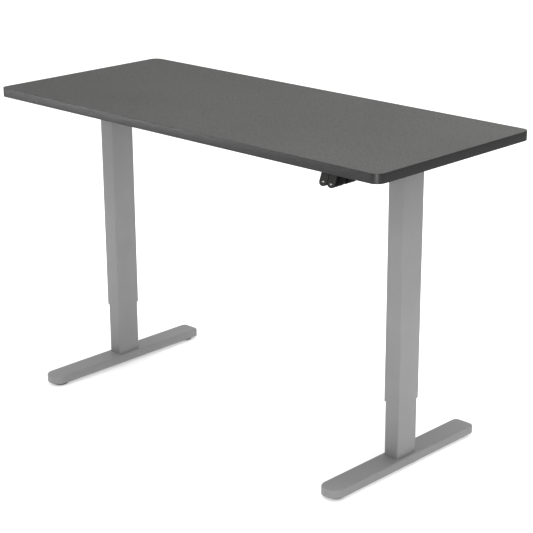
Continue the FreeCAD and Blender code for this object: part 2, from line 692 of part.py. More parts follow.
def screw_bearings():
    """The ball bearing that carries each lead screw, drawn as one closed ring."""
    rings = []
    for x in ("-leg_x", "leg_x"):
        ring = rod((x, "leg_y", "bearing_low"), "bearing_radius", "bearing_high")
        rings.append(cut(ring, rod((x, "leg_y", "bearing_low - 1"), "journal_radius + 0.05", "20")))
    node("screw_bearings", together(rings))


def motor():
    """The gearmotor behind the beam, its output shaft and the case round its gear pair."""
    flange_y = "leg_y + beam_deep / 2"
    can = rod(("motor_x", flange_y, "shaft_high"), "motor_radius", "motor_long", "+Y")
    cap = rod(("motor_x", flange_y + " + motor_long", "shaft_high"), "motor_radius - 3", "5", "+Y")
    well = rod(("motor_x", flange_y + " - 1", "shaft_high"), "4.1", "22", "+Y")
    node("motor_can", cut(join(can, cap), well))

    stub = rod(("motor_x", "leg_y + gear_radius + 7", "shaft_high"), "4",
               "beam_deep / 2 - gear_radius - 7 + 18", "+Y")
    pinion = gear(math.pi / 2, FACING_PLUS_Y, "motor_x", "leg_y")
    node("motor_output_shaft", join(stub, pinion))

    low = BEAM_TOP + " - 34.6"
    case = block(("motor_x - 17", "leg_y - 18", low), ("40", "beam_deep / 2 - beam_wall + 18", "32"))
    room = block(("motor_x - 15", "leg_y - 16", low + " + 1.8"),
                 ("36", "beam_deep / 2 - beam_wall + 14", "28.4"))
    tools = [rod(("motor_x - 60", "leg_y", "shaft_high"), "shaft_radius + 0.5", "120", "+X"),
             rod(("motor_x", "leg_y + 20", "shaft_high"), "4.5", "20", "+Y")]
    node("motor_gear_case", cut(case, room, *tools))


# ---------------------------------------------------------------- controls
INLET_Y = "box_y + box_deep / 2"


def control_box():
    """The control box screwed under the board, with its circuit board."""
    low = UNDERSIDE + " - box_high"
    tray = block(("box_x", "box_y", low), ("box_long", "box_deep", "box_high - box_wall"))
    room = block(("box_x + box_wall", "box_y + box_wall", low + " + box_wall"),
                 ("box_long - box_wall * 2", "box_deep - box_wall * 2", "box_high"))
    window = block(("box_x + box_long - box_wall - 1", INLET_Y + " - inlet_wide / 2 - 0.2",
                    low + " + inlet_lift"), ("box_wall + 2", "inlet_wide + 0.4", "inlet_high + 0.4"))
    lead_ways = [rod(("box_x - 1", INLET_Y, low + " + lead_lift"), "lead_radius + 1",
                     "box_wall + 2", "+X"),
                 rod(("box_x + 150", "box_y - 1", low + " + lead_lift"), "lead_radius + 1",
                     "box_wall + 2", "+Y")]
    node("control_box_tray", cut(tray, room, window, *lead_ways))
    lid = block(("box_x - box_flange", "box_y", UNDERSIDE + " - box_wall"),
                ("box_long + box_flange * 2", "box_deep", "box_wall"))
    holes = [rod((x, y, UNDERSIDE + " - 4"), "wood_screw + 0.3", "6") for x, y in BOX_SCREWS]
    node("control_box_lid", cut(lid, *holes))

    board = block(("box_x + 6", "box_y + 6", low + " + 8"), ("box_long - 46", "box_deep - 12", "1.6"))
    relays = [block(("box_x + %d" % x, "box_y + 55", low + " + 9.6"), ("18", "14", "15"))
              for x in (20, 46)]
    drum = rod(("box_x + 110", "box_y + 32", low + " + 9.6"), "9", "18")
    node("control_board", join(board, drum, *relays))


def mains_inlet():
    """The three-pin inlet in the control box's end: a mouth with its pins inside."""
    low = UNDERSIDE + " - box_high + inlet_lift + 0.2"
    end = "box_x + box_long + 1.5"
    body = block((end + " - inlet_long", INLET_Y + " - inlet_wide / 2", low),
                 ("inlet_long", "inlet_wide", "inlet_high"))
    mouth = block((end + " - inlet_long + 6", INLET_Y + " - mouth_wide / 2",
                   low + " + (inlet_high - mouth_high) / 2"), ("inlet_long", "mouth_wide", "mouth_high"))
    pins = [block((end + " - inlet_long + 4", INLET_Y + " + %s - 0.75" % across, low + " + " + lift),
                  ("pin_long", "1.5", "4"))
            for across, lift in (("-6.75", "6"), ("0", "10"), ("6.75", "6"))]
    node("mains_inlet", join(cut(body, mouth), *pins))


# ---------------------------------------------------------------- handset
def lobes(inset, middle, front, long, top="0"):
    """Two tongues side by side with rounded lower corners, extruded back from a level in Y.

    Each is moved in by one inset on its outer side and below, by another where the two
    meet, and by a third at the top.
    """
    shapes = []
    low = UNDERSIDE + " - lobe_drop + " + inset
    radius = "(lobe_round - %s)" % inset
    sides = (("hand_left + " + inset, "hand_left + lobe_wide - " + middle),
             ("hand_left + lobe_wide + " + middle, "hand_left + lobe_wide * 2 - " + inset))
    for left, right in sides:
        wide = "%s - (%s)" % (right, left)
        upper = block((left, front, low + " + " + radius),
                      (wide, long, "lobe_drop - %s - %s - %s" % (inset, top, radius)))
        lower = block((left + " + " + radius, front, low),
                      (wide + " - %s * 2" % radius, long, radius + " + 1"))
        ends = [rod((x, front, low + " + " + radius), radius, long, "+Y")
                for x in (left + " + " + radius, right + " - " + radius)]
        shapes.append(join(upper, lower, *ends))
    return shapes


def before_face(out):
    """The space in front of the handset's leaning face, once that is moved out by a distance."""
    lean = math.radians(size("hand_lean"))
    forward = Vector(0, -math.cos(lean), math.sin(lean))
    up = Vector(0, math.sin(lean), math.cos(lean))
    space = DOC.addObject("Part::Box", "Space")
    for prop, text in (("Length", "lobe_wide * 2 + 20"), ("Width", "60"), ("Height", "60")):
        bind(space, prop, text)
    space.Placement.Rotation = Rotation(Vector(-1, 0, 0), forward, up)
    shift = "(%s) * (%.6f) - 10 * (%.6f)"
    return move(space, "hand_left + lobe_wide * 2 + 10",
                FRONT + " + hand_face + " + shift % (out, forward.y, up.y),
                UNDERSIDE + " - lobe_drop + " + shift % (out, forward.z, up.z))


HAND_MIDDLE = "hand_left + lobe_wide"
HAND_BOARD = "(%s + hand_face + key_deep + key_press + switch_gap)" % FRONT


def handset():
    """The handset under the front edge: its housing and its circuit board."""
    face = FRONT + " + hand_face"
    front = lobes("0", "0", face, "hand_step")
    neck = lobes("neck_inset", "0", face + " + hand_step - 1", "hand_neck + 2")
    rear = lobes("hand_inset", "0", face + " + hand_step + hand_neck",
                 "hand_long - hand_face - hand_step - hand_neck")
    ears = block((HAND_MIDDLE + " - hand_ear / 2", FRONT + " + hand_long - 2", UNDERSIDE + " - 2.5"),
                 ("hand_ear", "12", "2.5"))
    rooms = lobes("hand_wall", "middle_wall", face + " - 1", "hand_step - hand_wall + 1", "hand_brow")
    rooms += lobes("(neck_inset + hand_wall)", "middle_wall", face + " + key_deep",
                   "hand_long - hand_face - hand_wall - key_deep", "hand_wall")
    link = block((HAND_MIDDLE + " - 6", HAND_BOARD + " - 1.5", UNDERSIDE + " - 24"),
                 ("12", "hand_long - 30", "20"))
    holes = [rod((x, y, UNDERSIDE + " - 4"), "wood_screw + 0.3", "6") for x, y in HAND_SCREWS]
    exit_hole = rod(("hand_left - 1", FRONT + " + hand_long - 14", UNDERSIDE + " - 8"),
                    "lead_radius + 0.3", "neck_inset + hand_wall + 2", "+X")
    shell = cut(join(*front, *neck, *rear, ears), *rooms, link, exit_hole, before_face("0"), *holes)
    node("handset_housing", shell)
    board = block((HAND_MIDDLE + " - hand_board / 2", HAND_BOARD, UNDERSIDE + " - lobe_drop / 2 - 5.5"),
                  ("hand_board", "1.6", "11"))
    node("handset_board", board)


def keys():
    """The two keys: hollow caps that follow the leaning face, each with a stem to its switch."""
    gap = "(hand_wall + key_gap)"
    solid = lobes(gap, "(middle_wall + key_gap)", FRONT + " - 1", "key_deep + hand_face + 1",
                  "(hand_brow + key_gap)")
    skin = "(hand_wall + key_gap + key_wall)"
    hollow = lobes(skin, "(middle_wall + key_gap + key_wall)", FRONT + " - 1",
                   "key_deep + hand_face + 3", "(hand_brow + key_gap + key_wall)")
    stems = ("hand_left + lobe_wide / 2", "hand_left + lobe_wide * 1.5")
    for name, outside, inside, x in zip(("up_button", "down_button"), solid, hollow, stems):
        cap = cut(outside, before_face("key_proud"), cut(inside, before_face("-key_wall * 1.4")))
        stem = rod((x, FRONT + " + 3", UNDERSIDE + " - lobe_drop / 2"), "3",
                   "hand_face + key_deep + switch_gap - 0.3 - 3", "+Y")
        node(name, join(cap, cut(stem, before_face("0"))))


# ---------------------------------------------------------------- leads
LEAD_REACH = 0.45


def lead(name, points, radius):
    """A lead along straight runs joined by tangent arcs as large as the runs allow."""
    edges = []
    here = points[0]
    for before, corner, after in zip(points, points[1:], points[2:]):
        arrive = (corner - before).normalize()
        leave = (after - corner).normalize()
        half_turn = arrive.getAngle(leave) / 2
        reach = LEAD_REACH * min((corner - before).Length, (after - corner).Length)
        bend = reach / math.tan(half_turn)
        start = corner - arrive * reach
        end = corner + leave * reach
        inward = (leave - arrive).normalize()
        centre = corner + inward * (bend / math.cos(half_turn))
        middle = centre - inward * bend
        edges.append(Part.LineSegment(here, start).toShape())
        edges.append(Part.Arc(start, middle, end).toShape())
        here = end
        print("%s: bend radius %.1f mm" % (name, bend))
    edges.append(Part.LineSegment(here, points[-1]).toShape())
    path = Part.Wire(edges)
    ring = Part.Wire(Part.Circle(points[0], points[1] - points[0], radius).toShape())
    tube = path.makePipeShell([ring], True, True)
    expected = math.pi * radius ** 2 * path.Length
    if abs(tube.Volume - expected) > 0.01 * expected:
        raise RuntimeError(name + " has the wrong volume")
    print("%s: length %.0f mm" % (name, path.Length))
    piece = DOC.addObject("Part::Feature", "Lead")
    piece.Shape = tube
    return node(name, piece)


def route(*points):
    """A lead's points, written as distances from the board's underside in Z."""
    under = size("top_height") - size("top_thick")
    return [Vector(x, y, under - drop) for x, y, drop in points]


def cable_clip(before, after):
    """A saddle under the board at the middle of one straight run of a lead."""
    under = size("top_height") - size("top_thick")
    middle = (before + after) * 0.5
    along = (after - before).normalize()
    reach = size("lead_radius") + 2
    saddle = Part.makeBox(8, reach * 2, under - middle.z + reach,
                          Vector(-4, -reach, -reach))
    ring = Part.makeCylinder(size("lead_radius") + 0.1, 20, Vector(-10, 0, 0), Vector(1, 0, 0))
    piece = DOC.addObject("Part::Feature", "Clip")
    piece.Shape = saddle.cut(ring)
    turn = Rotation(Vector(1, 0, 0), Vector(along.x, along.y, 0))
    piece.Placement = FreeCAD.Placement(middle, turn)
    return piece


def leads():
    """The motor's lead and the handset's lead, each from its outlet to the control box."""
    mid_y = size("box_y") + size("box_deep") / 2
    box_drop = size("box_high") - size("lead_lift")
    can_end = size("leg_y") + size("beam_deep") / 2 + size("motor_long") + 5
    motor_drop = size("top_height") - size("top_thick") - size("shaft_high")
    motor_x = size("motor_x")
    motor_route = route(
        (motor_x, can_end, motor_drop), (motor_x, can_end + 30, motor_drop),
        (motor_x + 24, can_end + 46, 18), (motor_x + 62, can_end + 38, 5), (-318, 164, 4), (-256, 158, 4),
        (-194, 160, 4), (-130, 156, 4), (-70, 154, 4.5), (-24, mid_y + 12, 8), (12, mid_y, 18),
        (36, mid_y, box_drop), (size("box_x") + 1, mid_y, box_drop))
    lead("motor_lead", motor_route, size("lead_radius"))
    hand_x = size("hand_left") + size("hand_inset") + 0.5
    hand_y = size("hand_long") - size("top_depth") / 2 - 14
    box_x = size("box_x") + 150
    hand_route = route(
        (hand_x, hand_y, 8), (hand_x - 28, hand_y, 8), (hand_x - 62, hand_y + 18, 6), (436, -182, 4),
        (430, -136, 4), (432, -90, 4), (430, -40, 4), (431, 10, 4), (422, 52, 4), (376, 70, 4),
        (318, 66, 4), (262, 48, 5), (box_x + 17, 36, 11), (box_x, 54, box_drop),
        (box_x, size("box_y") + 1, box_drop))
    lead("handset_lead", hand_route, size("lead_radius"))
    runs = [(motor_route, 4), (motor_route, 6), (motor_route, 7),
            (hand_route, 4), (hand_route, 6), (hand_route, 9)]
    node("cable_clips", together([cable_clip(path[run], path[run + 1]) for path, run in runs]))


for build_side in SIDES:
    foot_shell(build_side)
    foot_sole(build_side)
    column(build_side)
    head_bracket(build_side)
    side_bracket(build_side)
    gearbox(build_side)
    lead_screw(build_side)
glides()
foot_bolts()
desktop()
bracket_pads()
crossbeams()
frame_bolts()
desktop_screws()
screw_bearings()
drive_shaft()
motor()
control_box()
mains_inlet()
handset()
keys()
leads()

# ---------------------------------------------------------------- checks and files
DOC.recompute()
for item in DOC.Objects:
    if "Invalid" in item.State or "Error" in item.State:
        raise RuntimeError("%s failed: %s" % (item.Label, item.State))
os.makedirs("parts", exist_ok=True)
for item in NODES:
    if item.Shape.isNull() or not item.Shape.isValid() or not item.Shape.Solids:
        raise RuntimeError(item.Label + " has no valid solid")
for item in NODES:
    item.Shape.exportStep("parts/%s.step" % item.Label)
print("%d sub-parts written" % len(NODES))
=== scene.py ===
import json
import math

import bmesh
import bpy
from mathutils import Matrix, Vector


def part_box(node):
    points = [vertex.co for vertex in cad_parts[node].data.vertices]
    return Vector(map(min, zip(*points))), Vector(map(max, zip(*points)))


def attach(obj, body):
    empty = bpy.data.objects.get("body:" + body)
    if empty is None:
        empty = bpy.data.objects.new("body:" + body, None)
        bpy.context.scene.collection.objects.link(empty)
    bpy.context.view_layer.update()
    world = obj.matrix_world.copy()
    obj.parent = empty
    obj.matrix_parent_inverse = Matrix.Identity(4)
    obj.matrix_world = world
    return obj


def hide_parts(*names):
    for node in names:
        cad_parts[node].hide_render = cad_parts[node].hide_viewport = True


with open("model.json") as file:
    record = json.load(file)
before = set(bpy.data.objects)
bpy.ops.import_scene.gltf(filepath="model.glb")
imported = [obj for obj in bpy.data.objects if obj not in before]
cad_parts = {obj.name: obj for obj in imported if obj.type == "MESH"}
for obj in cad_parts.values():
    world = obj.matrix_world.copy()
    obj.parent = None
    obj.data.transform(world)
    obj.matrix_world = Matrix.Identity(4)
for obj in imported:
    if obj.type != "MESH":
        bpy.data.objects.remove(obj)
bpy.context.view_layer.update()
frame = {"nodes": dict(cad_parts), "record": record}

MM = 0.001
SIDES = ("left", "right")
CORNERS = ("front_left", "rear_left", "front_right", "rear_right")


# ---------------------------------------------------------------- camera
CAMERA_PLACE = (2.9133, -2.9606, 1.8033)
CAMERA_YAW = 0.751          # turned to the desk's left, in radians
CAMERA_DOWN = 0.334         # tilted down, in radians
CAMERA_LENS = 106.56
CAMERA_SHIFT = (-0.0459, 0.0389)


def add_camera():
    """The camera at the photograph's viewing angle."""
    data = bpy.data.cameras.new("camera")
    data.lens = CAMERA_LENS
    data.sensor_width = 36
    data.shift_x, data.shift_y = CAMERA_SHIFT
    data.clip_end = 100
    camera = bpy.data.objects.new("camera", data)
    camera.location = CAMERA_PLACE
    camera.rotation_euler = (math.pi / 2 - CAMERA_DOWN, 0, CAMERA_YAW)
    bpy.context.scene.collection.objects.link(camera)
    bpy.context.scene.camera = camera


# ---------------------------------------------------------------- material helpers
class Nodes:
    """A short way to write a material's nodes."""

    def __init__(self, name):
        self.material = bpy.data.materials.new(name)
        self.material.use_nodes = True
        self.tree = self.material.node_tree
        self.shader = self.tree.nodes["Principled BSDF"]
        self.place = self.add("ShaderNodeTexCoord").outputs["Object"]

    def add(self, kind, **settings):
        node = self.tree.nodes.new(kind)
        for name, value in settings.items():
            setattr(node, name, value)
        return node

    def link(self, source, target):
        self.tree.links.new(source, target)

    def feed(self, socket, value):
        """Link a socket, or set its number or colour."""
        if isinstance(value, bpy.types.NodeSocket):
            self.link(value, socket)
        else:
            socket.default_value = value

    def noise(self, scale, detail=4.0, roughness=0.55, place=None, distortion=0.0):
        node = self.add("ShaderNodeTexNoise")
        self.link(place or self.place, node.inputs["Vector"])
        node.inputs["Scale"].default_value = scale
        node.inputs["Detail"].default_value = detail
        node.inputs["Roughness"].default_value = roughness
        node.inputs["Distortion"].default_value = distortion
        return node.outputs["Fac"]

    def cells(self, scale, feature="F1", place=None):
        node = self.add("ShaderNodeTexVoronoi", feature=feature)
        self.link(place or self.place, node.inputs["Vector"])
        node.inputs["Scale"].default_value = scale
        return node.outputs["Distance"]

    def stretched(self, scale):
        """Object coordinates stretched along some axes, for brushed or drawn surfaces."""
        node = self.add("ShaderNodeMapping")
        self.link(self.place, node.inputs["Vector"])
        node.inputs["Scale"].default_value = scale
        return node.outputs["Vector"]

    def between(self, value, low, high, to_low=0.0, to_high=1.0):
        """Map a range of one value to another range, clamped."""
        node = self.add("ShaderNodeMapRange")
        self.feed(node.inputs["Value"], value)
        for name, number in (("From Min", low), ("From Max", high), ("To Min", to_low), ("To Max", to_high)):
            node.inputs[name].default_value = number
        return node.outputs["Result"]

    def math(self, operation, one, two=0.0):
        node = self.add("ShaderNodeMath", operation=operation)
        self.feed(node.inputs[0], one)
        self.feed(node.inputs[1], two)
        return node.outputs[0]

    def mix(self, factor, one, two):
        """Mix two colours; each is a socket or a grey or rgb value."""
        node = self.add("ShaderNodeMix", data_type="RGBA")
        self.feed(node.inputs["Factor"], factor)
        for socket, value in ((node.inputs["A"], one), (node.inputs["B"], two)):
            self.feed(socket, value if isinstance(value, bpy.types.NodeSocket) else colour(value))
        return node.outputs["Result"]

    def edge(self, radius, low=0.02, high=0.25):
        """A mask that is 1 along outside edges and 0 on flat surfaces."""
        bevel = self.add("ShaderNodeBevel", samples=4)
        bevel.inputs["Radius"].default_value = radius
        geometry = self.add("ShaderNodeNewGeometry")
        dot = self.add("ShaderNodeVectorMath", operation="DOT_PRODUCT")
        self.link(bevel.outputs["Normal"], dot.inputs[0])
        self.link(geometry.outputs["Normal"], dot.inputs[1])
        return self.between(self.math("SUBTRACT", 1.0, dot.outputs["Value"]), low, high)

    def bump(self, height, distance, strength=1.0, normal=None):
        node = self.add("ShaderNodeBump")
        node.inputs["Distance"].default_value = distance
        node.inputs["Strength"].default_value = strength
        self.link(height, node.inputs["Height"])
        if normal:
            self.link(normal, node.inputs["Normal"])
        return node.outputs["Normal"]

    def finish(self, base, roughness, normal=None, metallic=0.0, specular=0.5, coat=0.0):
        self.feed(self.shader.inputs["Base Color"],
                  base if isinstance(base, bpy.types.NodeSocket) else colour(base))
        self.feed(self.shader.inputs["Roughness"], roughness)
        self.shader.inputs["Metallic"].default_value = metallic
        self.shader.inputs["Specular IOR Level"].default_value = specular
        self.shader.inputs["Coat Weight"].default_value = coat
        if normal:
            self.link(normal, self.shader.inputs["Normal"])
        return self.material


def colour(value):
    """An opaque colour from a grey number or three numbers."""
    if isinstance(value, (int, float)):
        return (value, value, value, 1.0)
    return (*value, 1.0)


def tint(value, red=1.0, green=1.0, blue=1.0):
    return (value * red, value * green, value * blue)


# ---------------------------------------------------------------- materials
def laminate_material():
    """Dark grey melamine with a fine pebbled press-plate texture and a pale speckle."""
    n = Nodes("dark_laminate")
    speckle = n.between(n.noise(950, 3, 0.65), 0.44, 0.68)
    grain = n.between(n.noise(330, 4, 0.6, distortion=0.4), 0.36, 0.66)
    cloud = n.noise(3.2, 3, 0.5)
    blotch = n.between(n.noise(150, 3, 0.6), 0.36, 0.66)
    tone = n.mix(grain, tint(0.014, 1.01, 1.0, 0.98), tint(0.040, 1.01, 1.0, 0.98))
    tone = n.mix(n.math("MULTIPLY", blotch, 0.6), tone, tint(0.060, 1.01, 1.0, 0.98))
    tone = n.mix(n.math("MULTIPLY", speckle, 0.6), tone, tint(0.115, 1.01, 1.0, 0.985))
    tone = n.mix(n.between(cloud, 0.35, 0.7, 0.0, 0.2), tone, tint(0.024, 1.01, 1.0, 0.985))
    pebble = n.cells(520, "SMOOTH_F1")
    height = n.math("ADD", n.math("MULTIPLY", pebble, 0.7), n.math("MULTIPLY", grain, 0.5))
    normal = n.bump(height, 0.00022, 0.55)
    rough = n.between(n.noise(420, 3), 0.3, 0.7, 0.50, 0.62)
    return n.finish(tone, rough, normal, specular=0.09)


def band_material():
    """The edge band: the board's grey painted far darker, as the shade on its upright faces; finely grained
    along its length and a little shinier.
    """
    n = Nodes("edge_band_painted_shade")
    grain = n.between(n.noise(620, 4, 0.6), 0.35, 0.68)
    streak = n.between(n.noise(90, 3, 0.5, n.stretched((0.35, 0.35, 4.0))), 0.35, 0.65)
    # Painted shade: the band's base tone sits far below the board's, standing in for the light its upright
    # faces miss.
    tone = n.mix(grain, 0.007, 0.012)
    tone = n.mix(n.math("MULTIPLY", streak, 0.25), tone, 0.019)
    tone = n.mix(n.math("MULTIPLY", n.edge(0.0012), 0.4), tone, 0.035)
    normal = n.bump(n.math("ADD", grain, n.cells(700)), 0.00012, 0.4)
    return n.finish(tone, n.between(streak, 0, 1, 0.36, 0.46), normal, specular=0.09)


def powder_coat_material(name="grey_powder_coat", low=0.188, high=0.214):
    """Light grey powder coat: a fine orange peel, faint clouding and slightly paler edges."""
    n = Nodes(name)
    cloud = n.noise(9, 4, 0.5)
    fleck = n.between(n.noise(1500, 2, 0.7), 0.5, 0.75)
    tone = n.mix(n.between(cloud, 0.3, 0.7), low, high)
    tone = n.mix(n.math("MULTIPLY", fleck, 0.18), tone, min(1.0, high * 1.5))
    tone = n.mix(n.math("MULTIPLY", n.edge(0.0014), 0.45), tone, min(1.0, high * 1.35))
    peel = n.math("ADD", n.noise(700, 2, 0.5), n.math("MULTIPLY", n.noise(190, 2, 0.5), 0.8))
    normal = n.bump(peel, 0.00012, 0.45)
    return n.finish(tone, n.between(cloud, 0.3, 0.7, 0.44, 0.54), normal, metallic=0.0, specular=0.42)


def plastic_material(name, low, high, rough=0.5, texture=900, depth=0.00012, warm=1.0, wear=0.5,
                     specular=0.5):
    """A moulded plastic with a spark-eroded texture and edges polished by handling."""
    n = Nodes(name)
    grain = n.noise(texture, 3, 0.6)
    cloud = n.noise(30, 3, 0.5)
    tone = n.mix(n.between(cloud, 0.3, 0.7), tint(low, warm, 1.0, 2 - warm), tint(high, warm, 1.0, 2 - warm))
    tone = n.mix(n.math("MULTIPLY", n.edge(0.0008), wear), tone, tint(high * 2.2, warm, 1.0, 2 - warm))
    normal = n.bump(grain, depth, 0.5)
    return n.finish(tone, n.between(n.noise(texture / 3), 0.3, 0.7, rough - 0.06, rough + 0.08), normal,
                    specular=specular)


def steel_material(name, tone_low, tone_high, rough, stretch=(1, 1, 30), metallic=1.0, stain=None):
    """Drawn or turned steel: fine lines one way, soft stains and bright edges."""
    n = Nodes(name)
    lines = n.noise(260, 5, 0.65, n.stretched(stretch))
    cloud = n.noise(22, 4, 0.55)
    tone = n.mix(n.between(lines, 0.3, 0.7), tone_low, tone_high)
    if stain:
        tone = n.mix(n.between(cloud, 0.5, 0.75, 0.0, 0.6), tone, stain)
    tone = n.mix(n.math("MULTIPLY", n.edge(0.0006), 0.5), tone, min(1.0, tone_high * 1.4))
    normal = n.bump(lines, 0.00006, 0.5)
    return n.finish(tone, n.between(cloud, 0.3, 0.7, rough - 0.06, rough + 0.08), normal, metallic=metallic)


def cast_material():
    """Die-cast aluminium: a soft sand-like skin."""
    n = Nodes("cast_aluminium")
    sand = n.math("ADD", n.noise(420, 4, 0.65), n.math("MULTIPLY", n.cells(300), 0.5))
    tone = n.mix(n.between(n.noise(18), 0.3, 0.7), 0.40, 0.52)
    tone = n.mix(n.math("MULTIPLY", n.edge(0.001), 0.4), tone, 0.72)
    return n.finish(tone, n.between(sand, 0.5, 1.0, 0.42, 0.58), n.bump(sand, 0.0002, 0.4), metallic=1.0)


def circuit_material():
    """Green solder mask with a faint weave and tracks under it."""
    n = Nodes("circuit_board")
    tracks = n.between(n.noise(160, 0, 0.5, n.stretched((1, 0.25, 1))), 0.5, 0.53)
    weave = n.noise(1400, 2)
    tone = n.mix(tracks, (0.012, 0.075, 0.03), (0.03, 0.15, 0.06))
    return n.finish(tone, n.between(weave, 0.3, 0.7, 0.28, 0.4), n.bump(tracks, 0.00006, 0.5))


def print_material():
    """The white pad-printed arrow on a key."""
    n = Nodes("white_print")
    worn = n.between(n.noise(900, 3), 0.3, 0.6)
    return n.finish(n.mix(worn, 0.36, 0.55), n.between(worn, 0, 1, 0.5, 0.4), n.bump(worn, 0.00002))


def rubber_material(name, low=0.012, high=0.024, rough=0.6):
    """Black rubber or soft cable jacket with a dusty bloom."""
    n = Nodes(name)
    dust = n.between(n.noise(45, 5, 0.6), 0.45, 0.75)
    grain = n.noise(1100, 3)
    tone = n.mix(n.math("MULTIPLY", dust, 0.5), low, high * 1.8)
    return n.finish(tone, n.between(dust, 0, 1, rough - 0.05, rough + 0.12), n.bump(grain, 0.0001, 0.4))


MATERIALS = {
    "laminate": laminate_material(),
    "edge_band": band_material(),
    "grey_powder_coat": powder_coat_material(),
    "bare_steel": steel_material("zinc_plated_plate", 0.42, 0.52, 0.36, (3, 1, 1), stain=(0.40, 0.42, 0.47)),
    "slider_plastic": plastic_material("black_acetal", 0.012, 0.02, 0.38),
    "nut_plastic": plastic_material("natural_acetal", 0.62, 0.72, 0.42, warm=1.02, wear=0.1),
    "bright_steel": steel_material("turned_steel", 0.48, 0.60, 0.26),
    "gear_steel": steel_material("sintered_gear_steel", 0.30, 0.40, 0.36, (1, 1, 1),
                                 stain=(0.18, 0.13, 0.07)),
    "cast_aluminium": cast_material(),
    "zinc_screws": steel_material("black_zinc", 0.05, 0.085, 0.34, (1, 1, 1), metallic=0.9),
    "pad_rubber": rubber_material("pad_rubber"),
    "black_can": powder_coat_material("black_lacquer", 0.016, 0.024),
    "black_plastic": plastic_material("black_moulding", 0.013, 0.022, 0.48),
    "circuit_board": circuit_material(),
    "inlet_plastic": plastic_material("inlet_black", 0.01, 0.016, 0.28, 400, 0.00004),
    # The handset is black plastic; its tone is pushed almost to zero as painted shade for its place under
    # the board.
    "handset_plastic": plastic_material("handset_black_painted_shade", 0.0012, 0.0022, 0.4, 1300, 0.00008, wear=1.2,
                                        specular=0.03),
    "key_plastic": plastic_material("key_grey", 0.022, 0.032, 0.44, 1500, 0.00006, warm=1.03, wear=0.6,
                                    specular=0.22),
    "lead_jacket": rubber_material("lead_jacket", 0.012, 0.02, 0.45),
    "glide_plastic": plastic_material("glide_nylon", 0.005, 0.009, 0.6, 700, wear=0.2, specular=0.12),
    "print": print_material(),
}


# ---------------------------------------------------------------- mesh helpers
def arc(x, y, radius, start, steps):
    """Points of a quarter circle, from a start angle in degrees."""
    return [(x + radius * math.cos(math.radians(start + 90 * k / steps)),
             y + radius * math.sin(math.radians(start + 90 * k / steps))) for k in range(steps + 1)]


def rectangle(low, high, low_radius, high_radius=None, steps=8):
    """A rounded rectangle's outline as a function of how far it is moved inward."""
    high_radius = high_radius or low_radius

    def outline(inset):
        x0, y0 = low[0] + inset, low[1] + inset
        x1, y1 = high[0] - inset, high[1] - inset
        near = max(low_radius - inset, 0.00002)
        far = max(high_radius - inset, 0.00002)
        return (arc(x1 - near, y0 + near, near, 270, steps) + arc(x1 - far, y1 - far, far, 0, steps)
                + arc(x0 + far, y1 - far, far, 90, steps) + arc(x0 + near, y0 + near, near, 180, steps))
    return outline


def circle(x, y, radius, steps=48, flutes=0, depth=0.0):
    """A circle's outline, with shallow flutes if asked, as a function of the inset."""
    def outline(inset):
        points = []
        for k in range(steps):
            turn = 2 * math.pi * k / steps
            wave = depth * (0.5 - 0.5 * math.cos(flutes * turn)) if flutes and inset < radius * 0.3 else 0.0
            reach = max(radius - inset - wave, 0.00002)
            points.append((x + reach * math.cos(turn), y + reach * math.sin(turn)))
        return points
    return outline


def soften(profile, closed, steps=4):
    """Round the corners of a profile of (inset, height, radius) points."""
    points = []
    count = len(profile)
    for k, (inset, height, radius) in enumerate(profile):
        here = Vector((inset, height))
        if radius <= 0 or (not closed and k in (0, count - 1)):
            points.append(here)
            continue
        before = Vector(profile[(k - 1) % count][:2]) - here
        after = Vector(profile[(k + 1) % count][:2]) - here
        half = before.angle(after) / 2
        reach = min(radius / math.tan(half), before.length * 0.49, after.length * 0.49)
        bend = reach * math.tan(half)
        middle = here + (before.normalized() + after.normalized()).normalized() * (bend / math.sin(half))
        start = here + before.normalized() * reach - middle
        end = here + after.normalized() * reach - middle
        sweep = start.angle_signed(end)
        for step in range(steps + 1):
            points.append(middle + Matrix.Rotation(-sweep * step / steps, 2) @ start)
    return points


def mesh_object(name, body, slot, build, smooth_angle=32):
    """Make an object from a function that fills a bmesh; it rides on a body."""
    mesh = bpy.data.meshes.new(name)
    shape = bmesh.new()
    build(shape)
    bmesh.ops.remove_doubles(shape, verts=shape.verts, dist=1e-6)
    bmesh.ops.recalc_face_normals(shape, faces=shape.faces)
    shape.to_mesh(mesh)
    shape.free()
    for face in mesh.polygons:
        face.use_smooth = True
    mesh.set_sharp_from_angle(angle=math.radians(smooth_angle))
    thing = bpy.data.objects.new(name, mesh)
    bpy.context.scene.collection.objects.link(thing)
    mesh.materials.append(MATERIALS[slot])
    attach(thing, body)
    return thing


def loft(shape, outline, profile, closed=False, turn=None, steps=4):
    """Sweep a profile round an outline: a solid with flat ends, or a ring if closed."""
    rings = []
    for inset, height in soften(profile, closed, steps):
        ring = [Vector((x, y, height)) for x, y in outline(inset)]
        if turn is not None:
            ring = [turn @ point for point in ring]
        rings.append([shape.verts.new(point) for point in ring])
    pairs = list(zip(rings, rings[1:]))
    if closed:
        pairs.append((rings[-1], rings[0]))
    for one, two in pairs:
        for k in range(len(one)):
            after = (k + 1) % len(one)
            shape.faces.new((one[k], one[after], two[after], two[k]))
    if not closed:
        shape.faces.new(rings[0])
        shape.faces.new(rings[-1])


def plain(low, high, radius):
    """The profile of a solid between two levels with softened edges."""
    return [(radius * 1.6, low, 0), (0, low, radius), (0, high, radius), (radius * 1.6, high, 0)]


def hollow(low, high, wall, radius):
    """The closed profile of a wall that stands between two levels."""
    return [(0, low, radius), (0, high, radius), (wall, high, radius), (wall, low, radius)]


